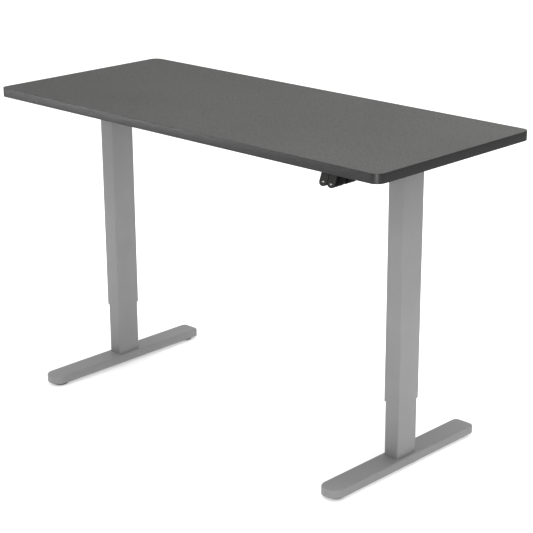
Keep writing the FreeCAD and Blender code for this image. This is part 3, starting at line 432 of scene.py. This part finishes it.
# ---------------------------------------------------------------- room and light
def area_light(name, place, aim, size, power, tone=(1, 1, 1)):
    """A soft rectangular lamp that points at a place."""
    data = bpy.data.lights.new(name, "AREA")
    data.shape = "RECTANGLE"
    data.size, data.size_y = size
    data.energy = power
    data.color = tone
    lamp = bpy.data.objects.new(name, data)
    lamp.location = place
    lamp.rotation_euler = (Vector(aim) - Vector(place)).to_track_quat("-Z", "Y").to_euler()
    bpy.context.scene.collection.objects.link(lamp)
    return lamp


FLOOR_HALF = 30.0
FLOOR_TONE = 0.93
SURROUND_STRENGTH = 0.68


def studio():
    """A pale floor, an even white surround, two soft lamps and one for the floor alone."""
    mesh = bpy.data.meshes.new("floor")
    half = FLOOR_HALF
    corners = [(-half, -half, 0), (half, -half, 0), (half, half, 0), (-half, half, 0)]
    mesh.from_pydata(corners, [], [(0, 1, 2, 3)])
    floor = bpy.data.objects.new("floor", mesh)
    bpy.context.scene.collection.objects.link(floor)
    n = Nodes("studio_floor")
    mesh.materials.append(n.finish(FLOOR_TONE, 0.7, specular=0.1))
    world = bpy.data.worlds.new("studio")
    world.use_nodes = True
    background = world.node_tree.nodes["Background"]
    background.inputs["Color"].default_value = (1, 1, 1, 1)
    background.inputs["Strength"].default_value = SURROUND_STRENGTH
    bpy.context.scene.world = world
    area_light("main_softbox", (7.8, -8.6, 3.9), (0, 0, 0.6), (3.4, 3.4), 430)
    area_light("top_softbox", (0.3, 0.2, 4.2), (0, 0, 0.8), (3.0, 3.0), 150)
    floor_lamp = area_light("floor_softbox", (0, 0, 7.0), (0, 0, 0), (26.0, 26.0), 1600)
    light_only(floor_lamp, floor, shadows=False)
    bpy.context.scene.view_settings.view_transform = "Standard"


def light_only(lamp, *pieces, shadows=True):
    """Let a lamp light some pieces and nothing else; without shadows, nothing stands in its way."""
    receivers = bpy.data.collections.new(lamp.name + "_receivers")
    for piece in pieces:
        receivers.objects.link(piece)
    lamp.light_linking.receiver_collection = receivers
    if not shadows:
        lamp.light_linking.blocker_collection = receivers


# ---------------------------------------------------------------- desktop
BOARD_CORNER = 25 * MM
BAND_EDGE = 0.8 * MM
BOARD_JOINT = 0.15 * MM       # the softened edge along the joint of board and band
BOARD_OVERLAP = 0.02 * MM


def desktop():
    """The board and the band round it, which share a hairline joint on both faces."""
    low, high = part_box("desktop_edge_band")
    inner_low, inner_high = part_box("desktop_board")
    band = inner_low.x - low.x

    board = mesh_object("worktop_board", "top_frame", "laminate", lambda shape: loft(
        shape, rectangle(inner_low, inner_high, BOARD_CORNER - band, steps=16),
        plain(low.z, high.z, BOARD_JOINT), steps=2))
    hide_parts("desktop_board")
    strip = mesh_object("worktop_edge_band", "top_frame", "edge_band", lambda shape: loft(
        shape, rectangle(low, high, BOARD_CORNER, steps=16),
        [(0, low.z, BAND_EDGE), (0, high.z, BAND_EDGE), (band - BOARD_OVERLAP, high.z, BOARD_JOINT),
         (band - BOARD_OVERLAP, low.z, BOARD_JOINT)], closed=True, steps=5))
    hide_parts("desktop_edge_band")

    # The band is graded from the front left, and the board from its right-hand end.
    band_lamp = area_light("band_softbox", (-2.6, -2.6, 0.7), (-0.6, -0.3, 0.86), (1.2, 1.2), 138)
    light_only(band_lamp, strip)
    corner_lamp = area_light("corner_softbox", (2.5, -2.5, 0.3), (0.7, -0.3, 0.86), (0.3, 0.3), 165)
    light_only(corner_lamp, strip)
    board_lamp = area_light("board_softbox", (2.2, 0.6, 2.2), (0.4, 0, 0.87), (1.0, 1.0), 75)
    light_only(board_lamp, board)


# ---------------------------------------------------------------- columns and feet
TUBE_CORNER = 3 * MM
TUBE_WALL = 1.5 * MM
TUBE_END = 0.4 * MM           # how far the sawn ends are softened
FOOT_FRONT_ROUND = 29 * MM
FOOT_REAR_ROUND = 14 * MM
FOOT_EDGE = 4 * MM
FOOT_WALL = 2 * MM
FOOT_RIM = 0.5 * MM
FOOT_MIDDLE = 12 * MM         # inside this inset the foot's faces are flat
GLIDE_FLUTE = 0.45 * MM
GLIDE_RIM = 4.5 * MM
GLIDE_CROWN = 5 * MM
GLIDE_WELL = 5.4 * MM
STUD_RADIUS = 4 * MM
STUD_PITCH = 1.25 * MM


def tube(side, which, body):
    """A column tube with rolled corners and deburred ends."""
    node = "%s_%s_tube" % (side, which)
    low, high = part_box(node)
    piece = mesh_object("%s_%s_column" % (side, which), body, "grey_powder_coat", lambda shape: loft(
        shape, rectangle(low, high, TUBE_CORNER, steps=6),
        hollow(low.z, high.z, TUBE_WALL, TUBE_END), closed=True, steps=3))
    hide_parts(node)


def foot(side):
    """A pressed foot: nearly round in front, squarer behind, hollow below."""
    node = side + "_foot_shell"
    low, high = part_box(node)
    outline = rectangle(low, high, FOOT_FRONT_ROUND, FOOT_REAR_ROUND, steps=14)
    inner = high.z - FOOT_WALL

    def build(shape):
        loft(shape, outline,
             [(FOOT_MIDDLE, inner, 0), (FOOT_WALL, inner, FOOT_EDGE - FOOT_WALL),
              (FOOT_WALL, low.z, FOOT_RIM), (0, low.z, FOOT_RIM),
              (0, high.z, FOOT_EDGE), (FOOT_MIDDLE, high.z, 0)], steps=6)
    piece = mesh_object(side + "_foot", "base", "grey_powder_coat", build)
    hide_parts(node)
    return piece


def glide(corner):
    """A levelling glide: a ribbed nylon disc with a soft sole line and a screwed stud."""
    node = corner + "_glide_pad"
    low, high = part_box(node)
    middle = (low + high) / 2
    radius = (high.x - low.x) / 2

    def build(shape):
        loft(shape, circle(middle.x, middle.y, radius, 120, 40, GLIDE_FLUTE),
             [(9 * MM, 0, 0), (0.8 * MM, 0, 0.6 * MM), (0, 1.0 * MM, 0.3 * MM),
              (0, GLIDE_RIM, 0.8 * MM), (GLIDE_CROWN, high.z, 0.8 * MM),
              (radius - GLIDE_WELL, high.z, 0.4 * MM), (radius - GLIDE_WELL, 2.7 * MM, 0)], steps=3)
    pad = mesh_object(corner + "_glide_disc", corner + "_glide", "glide_plastic", build)
    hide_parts(node)
    stud_node = corner + "_glide_stud"
    stud_low, stud_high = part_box(stud_node)
    stud = mesh_object(corner + "_glide_screw", corner + "_stud", "bright_steel", lambda shape: thread(
        shape, middle, STUD_RADIUS, STUD_PITCH, stud_low.z + 1.2 * MM, stud_high.z, 5.2 * MM), 40)
    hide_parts(stud_node)


def thread(shape, middle, radius, lead, low, high, foot_radius=0.0):
    """A screw thread as one helical surface, closed at both ends, on a foot if asked."""
    around, per_turn = 28, 8
    rows = int(round((high - low) / lead * per_turn))
    depth = 0.3 * lead
    rings = []
    if foot_radius:
        for reach, height in ((foot_radius - 0.4 * MM, low - 1.1 * MM), (foot_radius, low - 0.7 * MM),
                              (foot_radius, low - 0.3 * MM), (radius - depth, low - 0.05 * MM)):
            rings.append([(reach, height)] * around)
    for row in range(rows + 1):
        height = low + (high - low) * row / rows
        fade = min(1.0, row / per_turn, (rows - row) / per_turn)
        ring = []
        for k in range(around):
            phase = (height / lead - k / around) % 1.0
            ridge = min(1.0, max(0.0, 2.2 * abs(phase - 0.5) - 0.15) * 1.25)
            ring.append((radius - depth * (1 - fade * (1 - ridge)), height))
        rings.append(ring)
    made = []
    for ring in rings:
        made.append([shape.verts.new((middle.x + reach * math.cos(2 * math.pi * k / around),
                                      middle.y + reach * math.sin(2 * math.pi * k / around), height))
                     for k, (reach, height) in enumerate(ring)])
    for one, two in zip(made, made[1:]):
        for k in range(around):
            after = (k + 1) % around
            shape.faces.new((one[k], one[after], two[after], two[k]))
    shape.faces.new(made[0])
    shape.faces.new(made[-1])


# ---------------------------------------------------------------- handset
HAND_WALL = 1.4 * MM
KEY_GAP = 0.4 * MM
LOBE_CORNER = 11.5 * MM
HAND_STEP = 37 * MM           # from the face to where the rear part begins
HAND_NECK = 12 * MM           # the groove between the front and the rear part
NECK_INSET = 2.6 * MM
HAND_INSET = 0.2 * MM
HAND_BROW = 3.2 * MM          # the wall above the keys
EAR_LONG = 10 * MM
EAR_HALF = 24 * MM
HAND_LEAN = math.tan(math.radians(22))
KEY_PROUD = 0.53 * MM
LOBE_TOP = 3 * MM
LOBE_LEAST = 0.3 * MM         # no corner of a lobe gets sharper than this
WELL_DEPTH = 17 * MM          # how deep the keys' wells are behind the face
LEAN_FULL = 20 * MM           # up to here behind its front a key leans in full
LEAN_NONE = 40 * MM           # from here on it doesn't lean

# Plan in X and Z, swept along Y.
UPRIGHT = Matrix(((1, 0, 0, 0), (0, 0, 1, 0), (0, 1, 0, 0), (0, 0, 0, 1)))


def lobe(low, high, middle_at, brow=0.0):
    """A lobe's outline; the side where the two lobes meet moves inward half as much."""
    def outline(inset):
        left = low[0] + inset * (0.5 if middle_at == "low" else 1.0)
        right = high[0] - inset * (0.5 if middle_at == "high" else 1.0)
        below = low[1] + inset
        above = high[1] - inset - brow * min(1, inset / HAND_WALL)
        bottom = max(LOBE_CORNER - inset, LOBE_LEAST)
        top = max(LOBE_TOP - inset, LOBE_LEAST)
        steps = 12
        return (arc(right - bottom, below + bottom, bottom, 270, steps)
                + arc(right - top, above - top, top, 0, steps)
                + arc(left + top, above - top, top, 90, steps)
                + arc(left + bottom, below + bottom, bottom, 180, steps))
    return outline


def lean_back(shape, from_z, full_y, none_y):
    """Shear the front of a piece so that its face leans back as it rises."""
    for vert in shape.verts:
        share = (none_y - vert.co.y) / (none_y - full_y)
        vert.co.y += (vert.co.z - from_z) * HAND_LEAN * min(1.0, max(0.0, share))


def rounded_triangle(middle_x, middle_z, up):
    """An arrow head with blunt corners, 7.4 mm wide."""
    half, tall, blunt = 3.7 * MM, 3.4 * MM, 0.4 * MM
    sign = 1 if up else -1
    return [(middle_x - half, middle_z - sign * tall / 2 + sign * blunt),
            (middle_x - half + blunt, middle_z - sign * tall / 2),
            (middle_x + half - blunt, middle_z - sign * tall / 2),
            (middle_x + half, middle_z - sign * tall / 2 + sign * blunt),
            (middle_x + blunt, middle_z + sign * tall / 2), (middle_x - blunt, middle_z + sign * tall / 2)]


def handset():
    """The handset: a two-lobed shell, a key in each lobe and an arrow printed on each key."""
    low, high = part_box("handset_housing")
    face = low.y
    step = face + HAND_STEP
    back = high.y - EAR_LONG
    floor_of_well = face + WELL_DEPTH
    middle = (low.x + high.x) / 2
    brow = HAND_BROW - HAND_WALL
    lobes = (lobe((low.x, low.z), (middle, high.z), "high", brow),
             lobe((middle, low.z), (high.x, high.z), "low", brow))
    rear_low = low + Vector((HAND_INSET, 0, HAND_INSET))
    rear_lobes = (lobe((rear_low.x, rear_low.z), (middle, high.z), "high"),
                  lobe((middle, rear_low.z), (high.x - HAND_INSET, high.z), "low"))

    def shell(shape):
        for outline in lobes:
            loft(shape, outline,
                 [(6 * MM, step, 0), (0, step, 0.5 * MM), (0, face, 0.9 * MM), (HAND_WALL, face, 0.3 * MM),
                  (HAND_WALL, floor_of_well, 0), (5 * MM, floor_of_well, 0)], turn=UPRIGHT, steps=4)
        lean_back(shape, low.z, floor_of_well, step)
        for outline in rear_lobes:
            loft(shape, outline, [(6 * MM, step - 1 * MM, 0), (NECK_INSET, step - 1 * MM, 0),
                                  (NECK_INSET, step + HAND_NECK, 0.4 * MM), (0, step + HAND_NECK, 0.5 * MM),
                                  (0, back, 2.0 * MM), (6 * MM, back, 0)], turn=UPRIGHT, steps=4)
        loft(shape, rectangle((middle - EAR_HALF, back - 2 * MM), (middle + EAR_HALF, high.y), 4 * MM),
             plain(high.z - 2.5 * MM, high.z, 0.4 * MM))
    housing = mesh_object("handset_shell", "top_frame", "handset_plastic", shell)
    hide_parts("handset_housing")

    for outline, name, arrow_lift in zip(lobes, ("up_button", "down_button"), (11.0 * MM, 8.2 * MM)):
        key_low, key_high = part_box(name)
        body = name.replace("button", "key")
        front = face - KEY_PROUD
        skirt = HAND_WALL + KEY_GAP
        key_x = (key_low.x + key_high.x) / 2

        def cap(shape):
            loft(shape, outline,
                 [(skirt + 3 * MM, front + 9 * MM, 0), (skirt, front + 9 * MM, 0.2 * MM),
                  (skirt, front + 0.35 * MM, 0.5 * MM), (skirt + 1.2 * MM, front, 1.0 * MM),
                  (skirt + 8 * MM, front + 0.12 * MM, 0)], turn=UPRIGHT, steps=4)
            lean_back(shape, low.z, front + LEAN_FULL, front + LEAN_NONE)
            loft(shape, circle(key_x, (low.z + high.z) / 2, 3 * MM, 24),
                 [(2 * MM, front + 10 * MM, 0), (0, front + 10 * MM, 0), (0, key_high.y, 0.4 * MM),
                  (2 * MM, key_high.y, 0)], turn=UPRIGHT)
        piece = mesh_object(body + "_cap", body, "key_plastic", cap)
        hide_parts(name)

        def arrow(shape):
            points = rounded_triangle(key_x, low.z + arrow_lift, name == "up_button")
            near = [shape.verts.new((x, front - 0.04 * MM, z)) for x, z in points]
            far = [shape.verts.new((x, front + 0.4 * MM, z)) for x, z in points]
            shape.faces.new(near)
            shape.faces.new(far)
            for k in range(len(points)):
                after = (k + 1) % len(points)
                shape.faces.new((near[k], near[after], far[after], far[k]))
            lean_back(shape, low.z, front + LEAN_FULL, front + LEAN_NONE)
        mark = mesh_object(body + "_arrow", body, "print", arrow)


# ---------------------------------------------------------------- lead screws
def lead_screw(side):
    """The lead screw with its thread cut, its plain journal and its bearing shoulder."""
    node = side + "_lead_screw"
    low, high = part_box(node)
    middle = (low + high) / 2
    shoulder = high.z - 21 * MM

    def build(shape):
        thread(shape, middle, 7 * MM, 5 * MM, low.z, shoulder)
        loft(shape, circle(middle.x, middle.y, 6 * MM, 40), plain(shoulder - 1 * MM, high.z, 0.5 * MM))
    piece = mesh_object(side + "_threaded_spindle", side + "_screw", "bright_steel", build, 50)
    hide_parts(node)


# ---------------------------------------------------------------- details beneath the board
LEAD_LIFT = 18 * MM           # from the control box's floor to its lead holes
MOTOR_BANDS = (14 * MM, 58 * MM)
RIB_COUNT = 12
VENT_COUNT = 9

# Plan in Y and Z, swept along X.
SIDEWAYS = Matrix(((0, 0, 1, 0), (1, 0, 0, 0), (0, 1, 0, 0), (0, 0, 0, 1)))


def boot(name, place, start, reach, turn):
    """A tapered, ribbed strain relief round the end of a lead."""
    ribs, thick, thin = 5, 5.0 * MM, 3.3 * MM

    def build(shape):
        profile = [(thick - 2.2 * MM, start, 0), (0, start, 0.3 * MM)]
        for k in range(ribs):
            for share, dip in ((0.30, 0.0), (0.55, 0.6 * MM), (0.85, 0.6 * MM), (1.0, 0.0)):
                along = (k + share) / ribs
                profile.append(((thick - thin) * along + dip, start + reach * along, 0.15 * MM))
        profile.append((thick - 2.55 * MM, start + reach, 0))
        loft(shape, circle(place[0], place[1], thick, 36), profile, turn=turn, steps=2)
    mesh_object(name, "top_frame", "lead_jacket", build)


def lead_boots():
    """Strain reliefs where each lead leaves the motor, the handset and the control box."""
    can_low, can_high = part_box("motor_can")
    box_low, box_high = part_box("control_box_tray")
    hand_low, hand_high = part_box("handset_housing")
    motor = (can_low + can_high) / 2
    lead_z = box_low.z + LEAD_LIFT
    boot("motor_lead_boot", (motor.x, motor.z), can_high.y, 13 * MM, UPRIGHT)
    boot("handset_lead_boot", (hand_high.y - EAR_LONG - 14 * MM, hand_high.z - 8 * MM),
         hand_low.x + HAND_INSET + 0.2 * MM, -11 * MM, SIDEWAYS)
    boot("box_motor_lead_boot", ((box_low.y + box_high.y) / 2, lead_z), box_low.x, -11 * MM, SIDEWAYS)
    boot("box_handset_lead_boot", (box_low.x + 150 * MM, lead_z), box_low.y, -13 * MM, UPRIGHT)


def motor_details():
    """The motor's mounting ring with its screws, its clamp bands and its slotted end bell."""
    low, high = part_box("motor_can")
    middle = (low + high) / 2
    radius = (high.x - low.x) / 2

    def ring(shape, start, end, out, flutes=0, depth=0.0, soft=0.4 * MM):
        loft(shape, circle(middle.x, middle.z, radius + out, 144, flutes, depth),
             [(0, start, soft), (0, end, soft), (out + 0.6 * MM, end, 0), (out + 0.6 * MM, start, 0)],
             closed=True, turn=UPRIGHT, steps=2)
    mesh_object("motor_mounting_ring", "top_frame", "cast_aluminium", lambda shape: ring(
        shape, low.y + 0.2 * MM, low.y + 4 * MM, 1.8 * MM))
    mesh_object("motor_end_bell", "top_frame", "black_plastic", lambda shape: ring(
        shape, high.y - 17 * MM, high.y - 6 * MM, 0.9 * MM, 36, 0.7 * MM))

    def bands(shape):
        for start in MOTOR_BANDS:
            ring(shape, low.y + start, low.y + start + 5 * MM, 0.5 * MM, soft=0.2 * MM)
    mesh_object("motor_clamp_bands", "top_frame", "bright_steel", bands)

    def screws(shape):
        for k in range(4):
            turn = math.radians(45 + 90 * k)
            x = middle.x + (radius - 2.2 * MM) * math.cos(turn)
            z = middle.z + (radius - 2.2 * MM) * math.sin(turn)
            loft(shape, circle(x, z, 2.6 * MM, 30), [
                (0, low.y + 3.6 * MM, 0), (0, low.y + 5.6 * MM, 0.7 * MM),
                (1.3 * MM, low.y + 5.8 * MM, 0.1 * MM), (1.35 * MM, low.y + 4.6 * MM, 0),
                (2.4 * MM, low.y + 4.6 * MM, 0)], turn=UPRIGHT, steps=3)
    mesh_object("motor_ring_screws", "top_frame", "zinc_screws", screws)


def control_box_details():
    """Cooling ribs under the control box, a rim round them and vent bars on its front side."""
    low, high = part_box("control_box_tray")

    def ribs(shape):
        rim = rectangle((low.x + 14 * MM, low.y + 12 * MM), (high.x - 14 * MM, high.y - 12 * MM), 6 * MM)
        root = low.z + 0.2 * MM
        tip = low.z - 1.2 * MM
        loft(shape, rim, [(0, root, 0), (0, tip, 0.5 * MM), (2.2 * MM, tip, 0.5 * MM), (2.2 * MM, root, 0)],
             closed=True, steps=3)
        half = 1.6 * MM
        for k in range(RIB_COUNT):
            x = low.x + 52 * MM + k * 8 * MM
            loft(shape, rectangle((x - half, low.y + 22 * MM), (x + half, high.y - 22 * MM), half),
                 [(0.8 * MM, root, 0), (0, root, 0), (0, tip, 0.5 * MM), (1.0 * MM, tip, 0)], steps=3)
    mesh_object("control_box_ribs", "top_frame", "black_plastic", ribs)

    def bars(shape):
        root = low.y + 0.2 * MM
        tip = low.y - 0.9 * MM
        half = 1.5 * MM
        for k in range(VENT_COUNT):
            x = low.x + 24 * MM + k * 9 * MM
            loft(shape, rectangle((x - half, low.z + 8 * MM), (x + half, high.z - 9 * MM), half),
                 [(0.8 * MM, root, 0), (0, root, 0), (0, tip, 0.4 * MM), (1.0 * MM, tip, 0)],
                 turn=UPRIGHT, steps=3)
    mesh_object("control_box_vent_bars", "top_frame", "black_plastic", bars)


# ---------------------------------------------------------------- CAD nodes that stay
# Bevel widths in millimetres, by a word in the node's name; where two fit, the smaller is used.
BEVELS = {"crossbeam": 0.5, "bracket": 0.4, "housing": 1.0, "tray": 1.2, "lid": 0.4, "sole": 0.5,
          "end_plate": 0.5, "nut": 0.6, "motor_can": 1.0, "gear_case": 0.8, "inlet": 0.5, "clips": 0.4,
          "pads": 0.5, "bolts": 0.35, "screws": 0.25, "board": 0.2, "bearings": 0.5, "shaft": 0.25,
          "gear": 0.12, "slider": 0.12, "rotor": 0.12}


def dress_cad_nodes():
    """Give each CAD node its material, softened edges and smooth round faces."""
    slots = {entry["node"]: entry["material_slot"] for entry in frame["record"]["subparts"]}
    for name, thing in frame["nodes"].items():
        thing.data.materials.clear()
        thing.data.materials.append(MATERIALS[slots[name]])
        widths = [width for word, width in BEVELS.items() if word in name]
        if not widths:
            continue
        weld = thing.modifiers.new("weld", "WELD")
        weld.merge_threshold = 2e-6
        bevel = thing.modifiers.new("edges", "BEVEL")
        bevel.width = min(widths) * MM
        bevel.segments = 2
        bevel.limit_method = "ANGLE"
        bevel.angle_limit = math.radians(40)
        bevel.use_clamp_overlap = True
        bevel.harden_normals = False


add_camera()
studio()
dress_cad_nodes()
desktop()
feet = [foot(which_side) for which_side in SIDES]
feet_lamp = area_light("feet_softbox", (-1.2, 0.1, 2.0), (-0.5, 0, 0), (1.0, 1.0), 16)
light_only(feet_lamp, *feet, shadows=False)
for which_side in SIDES:
    tube(which_side, "inner", "base")
    tube(which_side, "outer", "top_frame")
    lead_screw(which_side)
for which_corner in CORNERS:
    glide(which_corner)
handset()
lead_boots()
motor_details()
control_box_details()
